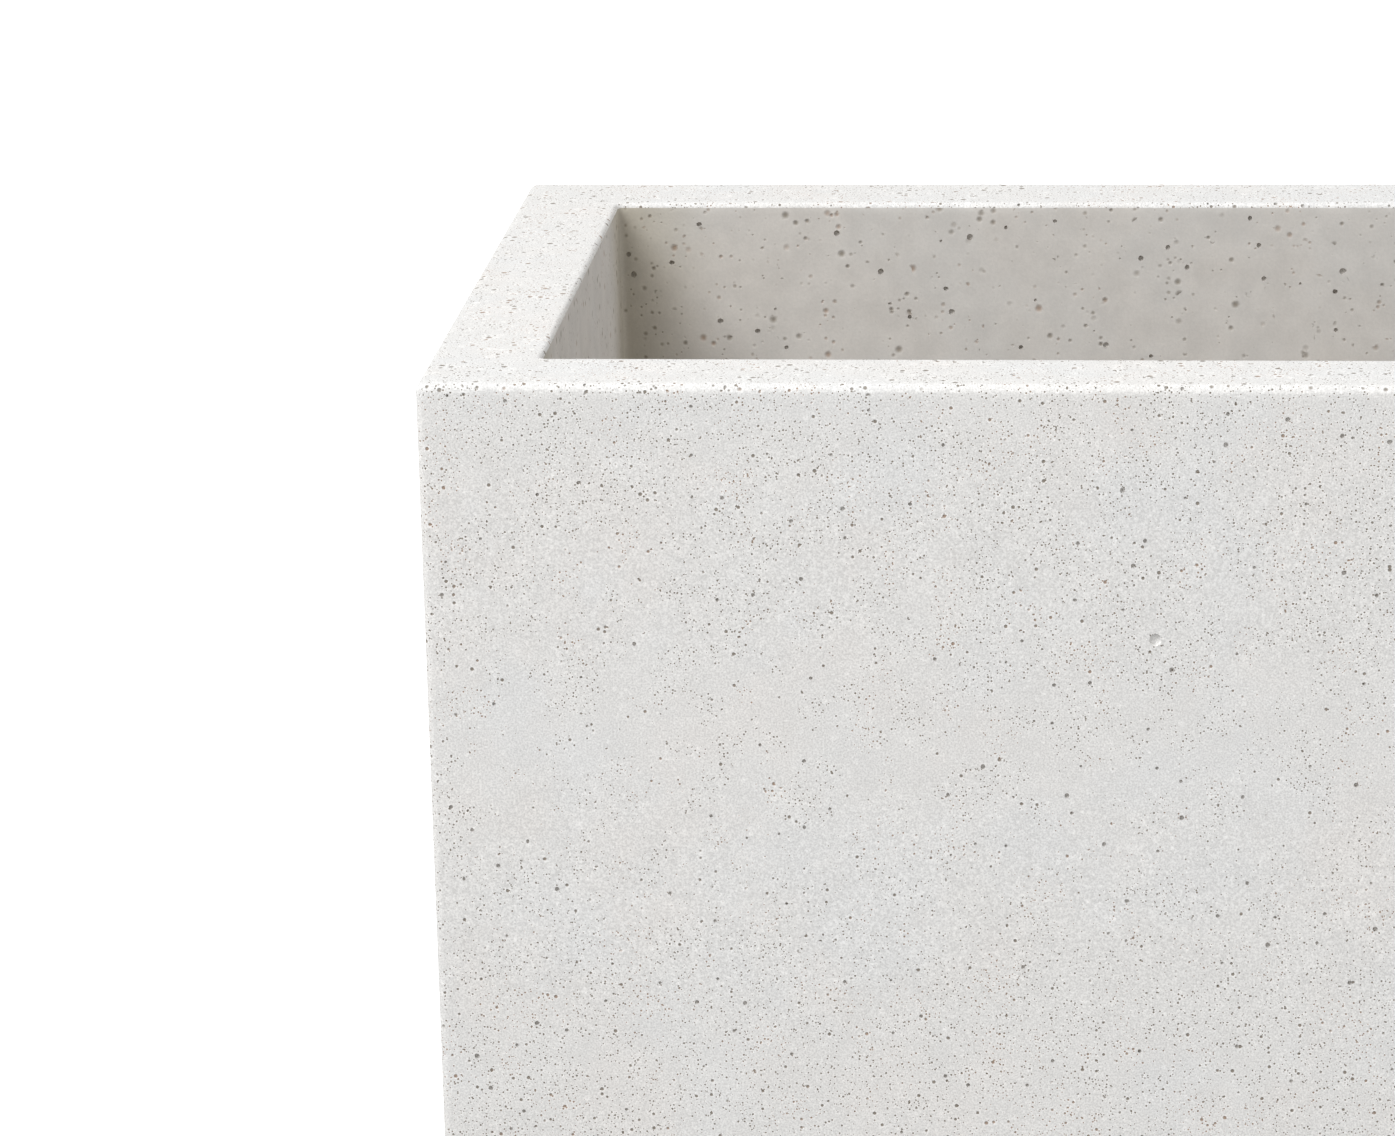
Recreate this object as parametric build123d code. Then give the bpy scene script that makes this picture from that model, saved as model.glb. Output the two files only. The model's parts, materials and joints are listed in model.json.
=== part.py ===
from build123d import *
import os
from math import radians, tan

# Rectangular trough planter, cast in one piece in pale fine-grained concrete.
# It stands on rubber pads and drains through three sleeves cast into its floor. Each
# sleeve is closed by a rubber plug that pulls up and out. Steel rods inside the walls
# and floor tie the casting together.
# Millimetres, +X along the length, +Y to the back, +Z up. The origin is on the ground,
# under the middle of the planter.

# Overall size, measured at the rim and from the ground
length = 800.0
width = 260.0
height = 260.0

# Cast shell
wall = 30.0
floor_thickness = 32.0
outer_draft = 0.3
core_draft = 1.0
edge_radius = 2.3
core_corner_radius = 3.0
floor_cove_radius = 10.0

# Drain sleeves, cast into the floor at the bottom of shallow dishes
drain_end_inset = 160.0
dish_depth = 3.0
dish_width = 25.0
sleeve_bore_radius = 13.0
sleeve_wall = 2.5
sleeve_flange_width = 7.5
sleeve_flange_thickness = 3.0
sleeve_rib_width = 4.5
sleeve_rib_thickness = 3.0
sleeve_mouth_chamfer = 1.0
sleeve_foot_recess = 0.5
sleeve_seat_gap = 0.2

# Rubber drain plugs
plug_flange_overlap = 6.0
plug_flange_thickness = 3.0
plug_flange_chamfer = 0.8
plug_foot_recess = 6.5
plug_stem_gap = 1.6
plug_stem_draft = 0.8
plug_stem_wall = 3.9
plug_web = 4.0
plug_fin_count = 3
plug_fin_height = 2.2
plug_fin_clearance = 0.08
plug_neck_radius = 4.0
plug_neck_height = 7.0
plug_knob_radius = 9.0
plug_knob_thickness = 6.0
plug_knob_chamfer = 1.8

# Rubber pads let into the underside
pad_radius = 22.0
pad_thickness = 8.0
pad_recess_depth = 3.0
pad_recess_clearance = 0.3
pad_edge_chamfer = 1.0
pad_end_inset = 60.0
pad_side_inset = 48.0
pad_groove_radius = 12.0
pad_groove_width = 2.0
pad_groove_depth = 1.5

# Steel rods at mid-thickness: hoops round the walls, and U-shaped bars under the floor
rod_diameter = 4.0
rod_bend_radius = 14.0
tie_gap = 0.6
hoop_rim_depth = 32.0
hoop_floor_rise = 12.0
leg_rim_depth = 20.0
cross_bar_count = 4
cross_bar_end_inset = 55.0
long_bar_spacing = 124.0

# Sizes that follow from those above
shell_base_z = pad_thickness - pad_recess_depth
shell_height = height - shell_base_z
floor_z = shell_base_z + floor_thickness
sleeve_top_z = floor_z - dish_depth
sleeve_foot_z = shell_base_z + sleeve_foot_recess
sleeve_barrel_radius = sleeve_bore_radius + sleeve_wall
sleeve_flange_radius = sleeve_barrel_radius + sleeve_flange_width
rod_radius = rod_diameter / 2
# Two crossing rods lie this far either side of the middle of a wall or of the floor
rod_offset = rod_radius + tie_gap / 2
same_place = 0.01
from_below = (Align.CENTER, Align.CENTER, Align.MIN)


def turned(profile_points):
    """A solid of revolution about Z from an (r, z) outline, closed by its last side."""
    outline = Polyline([(r, 0, z) for r, z in profile_points], close=True)
    return revolve(make_face(outline), Axis.Z, 360)


def ring_edges(solid, radius, z):
    """The circular edges of a turned solid at one radius and height."""
    circles = solid.edges().filter_by(GeomType.CIRCLE)
    at_height = [e for e in circles if abs(e.center().Z - z) < same_place]
    return [e for e in at_height if abs(e.radius - radius) < same_place]


# Shell


def drafted_block(size_x, size_y, depth, draft_angle):
    """A block that hangs down from the rim's plane, with flat sides that draw in towards its foot."""
    rim_plane = Plane(origin=(0, 0, height), z_dir=(0, 0, -1))
    block = rim_plane * Box(size_x, size_y, depth, align=from_below)
    sides = block.faces().filter_by(Axis.Z, reverse=True)
    return draft(sides, rim_plane, draft_angle)


def outer_block():
    """The outside of the casting, with every arris eased."""
    block = drafted_block(length, width, shell_height, outer_draft)
    return fillet(block.edges(), edge_radius)


def casting_core():
    """The core that leaves the planting cavity: tight upright corners and a wide cove round its floor."""
    depth = height - floor_z
    core = drafted_block(length - 2 * wall, width - 2 * wall, depth, core_draft)
    core = fillet(core.faces().sort_by(Axis.Z)[0].edges(), floor_cove_radius)
    corners = [e for e in core.edges() if e.bounding_box().size.Z > depth / 2]
    return fillet(corners, core_corner_radius)


def hollow_casting():
    """Block less core, with the inside arris of the rim eased like the outside one."""
    casting = outer_block() - casting_core()
    rim_face = casting.faces().sort_by(Axis.Z)[-1]
    return fillet(rim_face.inner_wires()[0].edges(), edge_radius)


def drain_dish():
    """The shallow cone that leads water from the floor to a sleeve."""
    flange = sleeve_flange_radius + sleeve_seat_gap
    return turned([(0, sleeve_top_z), (flange, sleeve_top_z), (flange + dish_width, floor_z), (0, floor_z)])


def cast_shell(drain_places, pad_places):
    """Walls and floor in one casting, with dishes and seats for the sleeves and recesses for the pads."""
    casting = hollow_casting()
    drain_seat = drain_dish() + sleeve_outline(sleeve_seat_gap, shell_base_z)
    for x, y in drain_places:
        casting -= Pos(x, y, 0) * drain_seat
    recess = Cylinder(pad_radius + pad_recess_clearance, pad_recess_depth, align=from_below)
    for x, y in pad_places:
        casting -= Pos(x, y, shell_base_z) * recess
    return casting


# Drain sleeve and plug


def sleeve_outline(growth, foot_z):
    """A sleeve's outside as a solid, grown by a gap where it stands for the seat in the casting."""
    barrel = sleeve_barrel_radius + growth
    rib = sleeve_barrel_radius + sleeve_rib_width + growth
    flange = sleeve_flange_radius + growth
    flange_z = sleeve_top_z - sleeve_flange_thickness
    rib_z = (sleeve_foot_z + flange_z) / 2
    half_rib = sleeve_rib_thickness / 2 + growth
    return turned(
        [
            (0, foot_z),
            (barrel, foot_z),
            (barrel, rib_z - half_rib),
            (rib, rib_z - half_rib),
            (rib, rib_z + half_rib),
            (barrel, rib_z + half_rib),
            (barrel, flange_z - growth),
            (flange, flange_z - growth),
            (flange, sleeve_top_z),
            (0, sleeve_top_z),
        ]
    )


def drain_sleeve():
    """A flanged plastic tube with an anchor rib round its middle and an eased mouth."""
    bore_length = sleeve_top_z - sleeve_foot_z
    bore = Pos(0, 0, sleeve_foot_z) * Cylinder(sleeve_bore_radius, bore_length, align=from_below)
    sleeve = sleeve_outline(0, sleeve_foot_z) - bore
    return chamfer(ring_edges(sleeve, sleeve_bore_radius, sleeve_top_z), sleeve_mouth_chamfer)


def plug_fin_points(stem_radius, stem_length):
    """The finned side of a plug's stem, from the flange down: each fin is a barb that leans upwards."""
    fin_tip = sleeve_bore_radius - plug_fin_clearance
    pitch = stem_length / (plug_fin_count + 1)
    points = []
    for i in range(plug_fin_count):
        depth = (i + 1) * pitch - plug_fin_height
        root = stem_radius - depth * tan(radians(plug_stem_draft))
        points += [
            (root, sleeve_top_z - depth),
            (fin_tip, sleeve_top_z - depth - plug_fin_height / 4),
            (root, sleeve_top_z - depth - plug_fin_height),
        ]
    return points


def drain_plug():
    """A rubber plug: a flange that seats on the sleeve, a finned hollow stem and a knob to pull it by."""
    flange_radius = sleeve_bore_radius + plug_flange_overlap
    flange_top = sleeve_top_z + plug_flange_thickness
    knob_z = flange_top + plug_neck_height
    knob_top = knob_z + plug_knob_thickness
    stem_foot = sleeve_foot_z + plug_foot_recess
    stem_length = sleeve_top_z - stem_foot
    stem_radius = sleeve_bore_radius - plug_stem_gap
    foot_radius = stem_radius - stem_length * tan(radians(plug_stem_draft))
    hollow_radius = stem_radius - plug_stem_wall
    hollow_roof = sleeve_top_z - plug_web
    return turned(
        [
            (0, knob_top),
            (plug_knob_radius - plug_knob_chamfer, knob_top),
            (plug_knob_radius, knob_top - plug_knob_chamfer),
            (plug_knob_radius, knob_z + plug_knob_chamfer),
            (plug_knob_radius - plug_knob_chamfer, knob_z),
            (plug_neck_radius, knob_z),
            (plug_neck_radius, flange_top),
            (flange_radius - plug_flange_chamfer, flange_top),
            (flange_radius, flange_top - plug_flange_chamfer),
            (flange_radius, sleeve_top_z),
            (stem_radius, sleeve_top_z),
            *plug_fin_points(stem_radius, stem_length),
            (foot_radius, stem_foot),
            (hollow_radius, stem_foot),
            (hollow_radius, hollow_roof),
            (0, hollow_roof),
        ]
    )


# Foot pad


def foot_pad():
    """A round rubber pad with a chamfered tread and a ring groove in its ground face."""
    pad = Cylinder(pad_radius, pad_thickness, align=from_below)
    pad = chamfer(ring_edges(pad, pad_radius, 0), pad_edge_chamfer)
    inner = pad_groove_radius - pad_groove_width / 2
    outer = pad_groove_radius + pad_groove_width / 2
    return pad - turned([(inner, 0), (outer, 0), (outer, pad_groove_depth), (inner, pad_groove_depth)])


# Reinforcement


def rod(path):
    """A round rod swept along its centreline. The casting is poured round it and has no hole for it."""
    section = Plane(origin=path @ 0, z_dir=path % 0) * Circle(rod_radius)
    return sweep(section, path=path)


def hoop_path(z):
    """A closed hoop's centreline, parallel to the outer faces, in the outer half of the walls."""
    inset = wall / 2 - rod_offset
    x = length / 2 - inset
    y = width / 2 - inset
    return FilletPolyline((-x, -y, z), (x, -y, z), (x, y, z), (-x, y, z), radius=rod_bend_radius, close=True)


def cross_bar_path(x):
    """A U-bar's centreline across the width: down the front wall, under the floor and up the back wall."""
    y = width / 2 - wall / 2 - rod_offset
    top = height - leg_rim_depth
    bottom = shell_base_z + floor_thickness / 2 - rod_offset
    return FilletPolyline((x, -y, top), (x, -y, bottom), (x, y, bottom), (x, y, top), radius=rod_bend_radius)


def long_bar_path(y):
    """A U-bar's centreline along the length, laid on top of the cross bars."""
    x = length / 2 - wall / 2 - rod_offset
    top = height - leg_rim_depth
    bottom = shell_base_z + floor_thickness / 2 + rod_offset
    return FilletPolyline((-x, y, top), (-x, y, bottom), (x, y, bottom), (x, y, top), radius=rod_bend_radius)


def reinforcement_paths():
    """The centreline of every rod, by the rod's name."""
    low = floor_z + hoop_floor_rise
    high = height - hoop_rim_depth
    paths = {
        "hoop_bar_low": hoop_path(low),
        "hoop_bar_middle": hoop_path((low + high) / 2),
        "hoop_bar_top": hoop_path(high),
        "long_bar_front": long_bar_path(-long_bar_spacing / 2),
        "long_bar_back": long_bar_path(long_bar_spacing / 2),
    }
    first_x = cross_bar_end_inset - length / 2
    pitch = -2 * first_x / (cross_bar_count - 1)
    for i in range(cross_bar_count):
        paths[f"cross_bar_{i + 1}"] = cross_bar_path(first_x + i * pitch)
    return paths


def left_middle_right(end_inset):
    """Three places along the length, by name: one in the middle and one in from each end."""
    reach = length / 2 - end_inset
    return {"left": -reach, "middle": 0.0, "right": reach}


def front_back(side_inset):
    """Two places across the width, by name."""
    reach = width / 2 - side_inset
    return {"front": -reach, "back": reach}


def build_planter():
    """Every piece of the planter, by name."""
    drains = {name: (x, 0.0) for name, x in left_middle_right(drain_end_inset).items()}
    pads = {}
    for row, y in front_back(pad_side_inset).items():
        for side, x in left_middle_right(pad_end_inset).items():
            pads[f"{row}_{side}"] = (x, y)

    pieces = {"shell": cast_shell(drains.values(), pads.values())}
    for name, (x, y) in drains.items():
        pieces[f"drain_sleeve_{name}"] = Pos(x, y, 0) * drain_sleeve()
        pieces[f"drain_plug_{name}"] = Pos(x, y, 0) * drain_plug()
    for name, (x, y) in pads.items():
        pieces[f"foot_pad_{name}"] = Pos(x, y, 0) * foot_pad()
    for name, path in reinforcement_paths().items():
        pieces[name] = rod(path)
    return pieces


os.makedirs("parts", exist_ok=True)
for node, shape in build_planter().items():
    export_step(shape, f"parts/{node}.step")
    print(f"{node}: {shape.volume / 1000:.1f} cm3")
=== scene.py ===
"""Looks of a long rectangular trough planter, cast in one piece in off-white concrete.

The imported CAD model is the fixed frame. A visual shell with cast arrises and air pits stands
for its plain shell, and the sleeves, plugs, pads and rods get their finishes. Sizes are in
millimetres and become metres where a mesh is made. +X is along the length, +Y to the back
and +Z up, and the origin is on the ground under the middle.
"""

import json
import logging
import math
import random
from dataclasses import dataclass
from enum import Enum

import bpy
from mathutils import Matrix, Vector, noise

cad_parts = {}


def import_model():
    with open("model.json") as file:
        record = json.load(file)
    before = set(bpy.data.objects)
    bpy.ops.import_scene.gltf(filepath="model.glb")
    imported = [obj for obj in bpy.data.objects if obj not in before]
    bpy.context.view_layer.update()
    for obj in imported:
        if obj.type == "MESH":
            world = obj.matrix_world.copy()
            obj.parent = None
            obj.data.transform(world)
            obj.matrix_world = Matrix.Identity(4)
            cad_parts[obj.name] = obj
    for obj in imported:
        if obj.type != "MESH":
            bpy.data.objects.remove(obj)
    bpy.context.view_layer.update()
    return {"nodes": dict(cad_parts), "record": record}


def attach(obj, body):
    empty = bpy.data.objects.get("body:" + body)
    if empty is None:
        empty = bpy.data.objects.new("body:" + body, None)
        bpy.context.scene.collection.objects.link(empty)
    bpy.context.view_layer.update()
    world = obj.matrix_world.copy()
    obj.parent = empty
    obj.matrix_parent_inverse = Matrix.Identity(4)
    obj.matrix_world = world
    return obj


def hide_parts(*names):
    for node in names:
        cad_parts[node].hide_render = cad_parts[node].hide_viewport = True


MM = 0.001
RIM_Z = 260.0
CAVITY_HALF = (370.0, 100.0)
WHITE = (1, 1, 1, 1)
Colour = tuple[float, float, float]
Point = tuple[float, float, float]
Socket = bpy.types.NodeSocket
log = logging.getLogger("planter")


class Slot(Enum):
    """The record's material slots."""

    CONCRETE = "concrete"
    SLEEVE_PLASTIC = "sleeve_plastic"
    PLUG_RUBBER = "plug_rubber"
    PAD_RUBBER = "pad_rubber"
    ROD_STEEL = "rod_steel"


# Node trees


@dataclass
class Graph:
    """Short calls that add nodes to a shader tree or a geometry tree.

    Args:
        tree: the node tree that the calls add to.
    """

    tree: bpy.types.NodeTree

    def node(self, kind: str, feeds: dict | None = None, **settings: object) -> bpy.types.Node:
        """Adds a node.

        Args:
            kind: the node's type name.
            feeds: values or output sockets, by the input's name or number.
            settings: the node's own properties.

        Returns:
            The new node.
        """
        node = self.tree.nodes.new(kind)
        for name, value in settings.items():
            setattr(node, name, value)
        for key, value in (feeds or {}).items():
            self.feed(self.socket(node.inputs, key), value)
        return node

    def feed(self, entry: Socket, value: object) -> None:
        """Links an output socket to an input, or sets the input's own value.

        Args:
            entry: the input.
            value: an output socket, or the value to set.
        """
        if isinstance(value, Socket):
            self.tree.links.new(value, entry)
        else:
            entry.default_value = value

    @staticmethod
    def socket(sockets: bpy.types.bpy_prop_collection, key: str | int) -> Socket:
        """Finds a socket by its number, or the first one in use by its name.

        Args:
            sockets: a node's inputs or outputs.
            key: the number or the name.

        Returns:
            The socket.
        """
        if isinstance(key, int):
            return sockets[key]
        return next(s for s in sockets if s.name == key and s.enabled)

    @staticmethod
    def first(node: bpy.types.Node) -> Socket:
        """A node's first output in use."""
        return next(s for s in node.outputs if s.enabled)

    def out(
        self, kind: str, output: str | int, feeds: dict | None = None, **settings: object
    ) -> Socket:
        """Adds a node and returns one of its outputs."""
        return self.socket(self.node(kind, feeds, **settings).outputs, output)

    def math(self, operation: str, *values: object, clamp: bool = False) -> Socket:
        """Adds a Math node and returns its result."""
        feeds = dict(enumerate(values))
        return self.out("ShaderNodeMath", 0, feeds, operation=operation, use_clamp=clamp)

    def vector(self, operation: str, *values: object) -> Socket:
        """Adds a Vector Math node and returns its vector."""
        return self.out("ShaderNodeVectorMath", 0, dict(enumerate(values)), operation=operation)

    def scaled(self, vector: Socket, factor: object) -> Socket:
        """Scales a vector or a colour by a number.

        Args:
            vector: what is scaled.
            factor: the number or the socket that gives it.

        Returns:
            The scaled vector.
        """
        result = self.vector("SCALE", vector)
        self.feed(result.node.inputs["Scale"], factor)
        return result

    def attribute(self, name: str, kind: str = "FLOAT") -> Socket:
        """A named attribute in a geometry tree."""
        node = self.node("GeometryNodeInputNamedAttribute", {"Name": name}, data_type=kind)
        return self.first(node)

    def spread(
        self, value: object, low: object, high: object, to_low: object, to_high: object
    ) -> Socket:
        """Maps a value smoothly from one range to another, held at both ends.

        Args:
            value: the value.
            low: where its range starts.
            high: where its range ends.
            to_low: the result at the start.
            to_high: the result at the end.

        Returns:
            The result.
        """
        feeds = {
            "Value": value, "From Min": low, "From Max": high, "To Min": to_low, "To Max": to_high,
        }
        return self.out(
            "ShaderNodeMapRange", 0, feeds, interpolation_type="SMOOTHSTEP", clamp=True
        )

    def mix(self, factor: object, first: object, second: object, blend: str = "MIX") -> Socket:
        """Mixes two colours.

        Args:
            factor: the second colour's share.
            first: a colour or a socket.
            second: a colour or a socket.
            blend: how the second colour is laid on the first.

        Returns:
            The mixed colour.
        """
        node = self.tree.nodes.new("ShaderNodeMix")
        node.data_type = "RGBA"
        node.blend_type = blend
        self.feed(node.inputs[0], factor)
        for entry, value in ((node.inputs[6], first), (node.inputs[7], second)):
            self.feed(entry, (*value, 1) if isinstance(value, tuple) else value)
        return node.outputs[2]

    def noise(
        self, place: object, feature: float, detail: float = 2, roughness: float = 0.5
    ) -> Socket:
        """Noise from 0 to 1 whose features are of one size, in the units of the place."""
        feeds = {"Vector": place, "Scale": 1 / feature, "Detail": detail, "Roughness": roughness}
        return self.out("ShaderNodeTexNoise", "Fac", feeds)


def new_material(name: str) -> tuple[bpy.types.Material, Graph, bpy.types.Node]:
    """Makes a material with an empty Principled surface.

    Args:
        name: the material's name.

    Returns:
        The material, its graph and its Principled node.
    """
    material = bpy.data.materials.new(name)
    material.use_nodes = True
    return material, Graph(material.node_tree), material.node_tree.nodes["Principled BSDF"]


def millimetres(graph: Graph, shift: Point = (0, 0, 0)) -> Socket:
    """Gives a material its place on the object in millimetres.

    Args:
        graph: the material's graph.
        shift: how far the place is moved, to start a pattern elsewhere.

    Returns:
        The place.
    """
    feeds = {"Location": shift, "Scale": (1000, 1000, 1000)}
    feeds["Vector"] = graph.out("ShaderNodeTexCoord", "Object")
    return graph.out("ShaderNodeMapping", 0, feeds)


def raise_surface(graph: Graph, surface: bpy.types.Node, height: Socket) -> None:
    """Gives a surface its fine relief, from a height in millimetres."""
    feeds = {"Height": height, "Strength": 1.0, "Distance": MM}
    graph.feed(surface.inputs["Normal"], graph.out("ShaderNodeBump", 0, feeds))


# Finishes


@dataclass(frozen=True)
class PinholeLayer:
    """Air holes of one size in the concrete's skin, too small to be modelled.

    Args:
        cell: the mean distance between possible holes.
        smallest: radius of the smallest hole.
        largest: radius of the largest hole.
        share: how many of the places hold a hole on the walls, from 0 to 1.
        rim_share: how many hold one on the rim, from 0 to 1.
        darkness: how far the hole's colour goes to the pit colour, which is part dirt and part
            painted shade.
        depth: how deep the hole looks.
        flat: how much of the hole's radius is its dark middle, from 0 to 1.
    """

    cell: float
    smallest: float
    largest: float
    share: float
    rim_share: float
    darkness: float
    depth: float
    flat: float = 0.55


@dataclass(frozen=True)
class ConcreteFinish:
    """Cast off-white concrete: soft mottles, sand grain and clusters of brownish pinholes. The
    pits' dark colour is part dirt and part painted shade; the cavity's corners get painted shade
    and each hole a painted highlight ring.
    """

    name: str
    paste: Colour
    warm_paste: Colour
    cool_paste: Colour
    pit_colour: Colour
    layers: tuple[PinholeLayer, ...]
    mottle_size: float = 38.0
    mottle_edge: tuple[float, float] = (0.45, 0.68)
    cloud_size: float = 9.0
    cloud_edge: tuple[float, float] = (0.3, 0.7)
    cloud_strength: float = 0.035
    sand_size: float = 0.5
    sand_edge: tuple[float, float] = (0.25, 0.75)
    sand_strength: float = 0.30
    sand_height: float = 0.035
    ripple_size: float = 5.0
    ripple_height: float = 0.05
    hole_size_power: float = 2.5
    cluster_size: float = 9.0
    cluster_edge: tuple[float, float] = (0.38, 0.66)
    cluster_share: tuple[float, float] = (0.25, 1.6)
    hole_edge: float = 1.1
    halo_edge: float = 2.2
    # Painted highlight: how much lighter the ring round each hole is.
    halo_highlight: float = 0.12
    # How far the cut pits' colour goes to the pit colour: part stain, part painted shade.
    pit_stain_and_shade: float = 0.42
    corner_crowding: float = 0.0
    crowded_reach: float = 110.0
    rusty_pit: Colour = (0.36, 0.25, 0.18)
    rust_size: float = 16.0
    rust_edge: tuple[float, float] = (0.5, 0.62)
    # Painted shade: the tint laid on the cavity's upright corners, and how far it reaches.
    painted_corner_shade: Colour = (1.0, 1.0, 1.0)
    corner_shade_reach: float = 24.0
    roughness: float = 0.88
    specular: float = 0.25

    def material(self) -> bpy.types.Material:
        """Builds the material.

        Returns:
            The material.
        """
        material, graph, surface = new_material(self.name)
        place = millimetres(graph)
        colour = self.paste_colour(graph, place)
        sand = graph.noise(place, self.sand_size, 1.5, 0.6)
        cloud = graph.noise(millimetres(graph, (41, 7, 19)), self.cloud_size, 3)
        ripple = graph.noise(place, self.ripple_size, 3)
        light = graph.math(
            "MULTIPLY",
            self.lightness(graph, sand, self.sand_edge, self.sand_strength),
            self.lightness(graph, cloud, self.cloud_edge, self.cloud_strength),
        )
        height = graph.math("MULTIPLY", sand, self.sand_height)
        height = graph.math("MULTIPLY_ADD", ripple, self.ripple_height, height)
        for number, layer in enumerate(self.layers):
            hole, halo = self.pinholes(graph, layer, number)
            # Painted highlight: a lighter ring of colour round each hole.
            light = graph.math("MULTIPLY_ADD", halo, self.halo_highlight, light)
            height = graph.math("MULTIPLY_ADD", hole, -layer.depth, height)
            # Part dirt, part painted shade: each hole is coloured towards the dark pit tone.
            dark = graph.math("MULTIPLY", hole, layer.darkness)
            colour = graph.mix(dark, colour, self.pit_tone(graph, place))
        # Cut pits take the dark pit colour inside, smaller ones more: part stain, part painted
        # shade.
        stain_and_shade = graph.node("ShaderNodeAttribute", attribute_name="in_pit").outputs["Fac"]
        colour = graph.mix(graph.math("MULTIPLY", stain_and_shade, self.pit_stain_and_shade), colour, self.pit_colour)
        # Painted shade: the colour is darkened and warmed towards the cavity's upright corners.
        corner = self.near_corner(graph, place, self.corner_shade_reach)
        colour = graph.mix(corner, colour, self.painted_corner_shade, "MULTIPLY")
        graph.feed(surface.inputs["Base Color"], graph.scaled(colour, light))
        surface.inputs["Roughness"].default_value = self.roughness
        surface.inputs["Specular IOR Level"].default_value = self.specular
        raise_surface(graph, surface, height)
        return material

    @staticmethod
    def lightness(
        graph: Graph, grain: Socket, edge: tuple[float, float], strength: float
    ) -> Socket:
        """How light a point is for its place in a noise, about 1."""
        return graph.spread(grain, *edge, 1 - strength / 2, 1 + strength / 2)

    def paste_colour(self, graph: Graph, place: Socket) -> Socket:
        """The cement paste's colour, which drifts between a warm and a cool tone.

        Args:
            graph: the material's graph.
            place: the point, in millimetres.

        Returns:
            The colour.
        """
        warm = graph.noise(place, self.mottle_size, 4, 0.6)
        cool = graph.noise(millimetres(graph, (90, 30, 60)), self.mottle_size, 4, 0.6)
        colour = graph.mix(
            graph.spread(warm, *self.mottle_edge, 0, 1), self.paste, self.warm_paste
        )
        return graph.mix(graph.spread(cool, *self.mottle_edge, 0, 1), colour, self.cool_paste)

    def pit_tone(self, graph: Graph, place: Socket) -> Socket:
        """The dark colour inside the pinholes, part dirt and part painted shade, rusty in patches.
        """
        rust = graph.spread(graph.noise(place, self.rust_size, 2), *self.rust_edge, 0, 1)
        return graph.mix(rust, self.pit_colour, self.rusty_pit)

    def near_corner(self, graph: Graph, place: Socket, reach: float) -> Socket:
        """How near a point is to one of the cavity's upright corners; it places the painted corner
        shade and the crowded pinholes.

        Args:
            graph: the material's graph.
            place: the point, in millimetres.
            reach: how far from the corner the answer falls to 0.

        Returns:
            From 0 to 1 in the corner.
        """
        parts = graph.node("ShaderNodeSeparateXYZ", {0: place}).outputs
        squares = []
        for half, part in zip(CAVITY_HALF, parts):
            gap = graph.math("SUBTRACT", half, graph.math("ABSOLUTE", part))
            squares.append(graph.math("MULTIPLY", gap, gap))
        return graph.spread(graph.math("SQRT", graph.math("ADD", *squares)), 0.0, reach, 1, 0)

    def pinholes(self, graph: Graph, layer: PinholeLayer, number: int) -> tuple[Socket, Socket]:
        """Makes one layer of pinholes.

        Args:
            graph: the material's graph.
            layer: the holes' sizes.
            number: the layer's number, which starts its pattern elsewhere.

        Returns:
            How deep a point lies in a hole, and how near it is outside one, where the painted
            highlight ring lies, both from 0 to 1.
        """
        place = millimetres(graph, (17.0 * number, 5.0 * number, 29.0 * number))
        feeds = {"Vector": place, "Scale": 1 / layer.cell}
        cells = graph.node("ShaderNodeTexVoronoi", feeds, feature="F1")
        distance = graph.math("MULTIPLY", cells.outputs["Distance"], layer.cell)
        chance = graph.node("ShaderNodeSeparateColor", {0: cells.outputs["Color"]})
        size = graph.math("POWER", chance.outputs[0], self.hole_size_power)
        radius = graph.math("MULTIPLY_ADD", size, layer.largest - layer.smallest, layer.smallest)
        crowd = self.crowd(graph, layer, place)
        present = graph.math("LESS_THAN", chance.outputs[1], crowd)
        reach = graph.math("DIVIDE", distance, radius)
        hole = graph.spread(reach, layer.flat, self.hole_edge, 1, 0)
        hole = graph.math("MULTIPLY", hole, present)
        halo = graph.math("MULTIPLY", graph.spread(reach, 1.0, self.halo_edge, 1, 0), present)
        return hole, graph.math("SUBTRACT", halo, hole, clamp=True)

    def crowd(self, graph: Graph, layer: PinholeLayer, place: Socket) -> Socket:
        """How many of a layer's places hold a hole: in clusters, by the rim and in the corners.

        Args:
            graph: the material's graph.
            layer: the holes' sizes.
            place: the point in the layer's own pattern.

        Returns:
            The share.
        """
        cluster = graph.noise(place, self.cluster_size, 3)
        crowd = graph.spread(cluster, *self.cluster_edge, *self.cluster_share)
        here = millimetres(graph)
        level = graph.node("ShaderNodeSeparateXYZ", {0: here}).outputs[2]
        share = graph.spread(level, RIM_Z - 3, RIM_Z - 1, layer.share, layer.rim_share)
        crowd = graph.math("MULTIPLY", crowd, share)
        corner = self.near_corner(graph, here, self.crowded_reach)
        crowded = graph.math("MULTIPLY_ADD", corner, self.corner_crowding, 1.0)
        return graph.math("MULTIPLY", crowd, crowded)


@dataclass(frozen=True)
class MouldedFinish:
    """A moulded rubber or plastic: fine even grain, faint flow marks and a little dust."""

    name: str
    colour: Colour
    dust: Colour
    dust_share: float
    roughness: float
    grain_size: float = 0.5
    grain_height: float = 0.03
    flow_size: float = 14.0
    flow_height: float = 0.05
    specular: float = 0.4

    def material(self) -> bpy.types.Material:
        """Builds the material.

        Returns:
            The material.
        """
        material, graph, surface = new_material(self.name)
        place = millimetres(graph)
        grain = graph.noise(place, self.grain_size, 2)
        flow = graph.noise(place, self.flow_size, 4, 0.65)
        worn = graph.spread(flow, 0.42, 0.72, 0, self.dust_share)
        graph.feed(surface.inputs["Base Color"], graph.mix(worn, self.colour, self.dust))
        dull = graph.spread(flow, 0.3, 0.7, self.roughness - 0.06, self.roughness + 0.08)
        graph.feed(surface.inputs["Roughness"], dull)
        surface.inputs["Specular IOR Level"].default_value = self.specular
        height = graph.math("MULTIPLY", flow, self.flow_height)
        height = graph.math("MULTIPLY_ADD", grain, self.grain_height, height)
        raise_surface(graph, surface, height)
        return material


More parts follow.
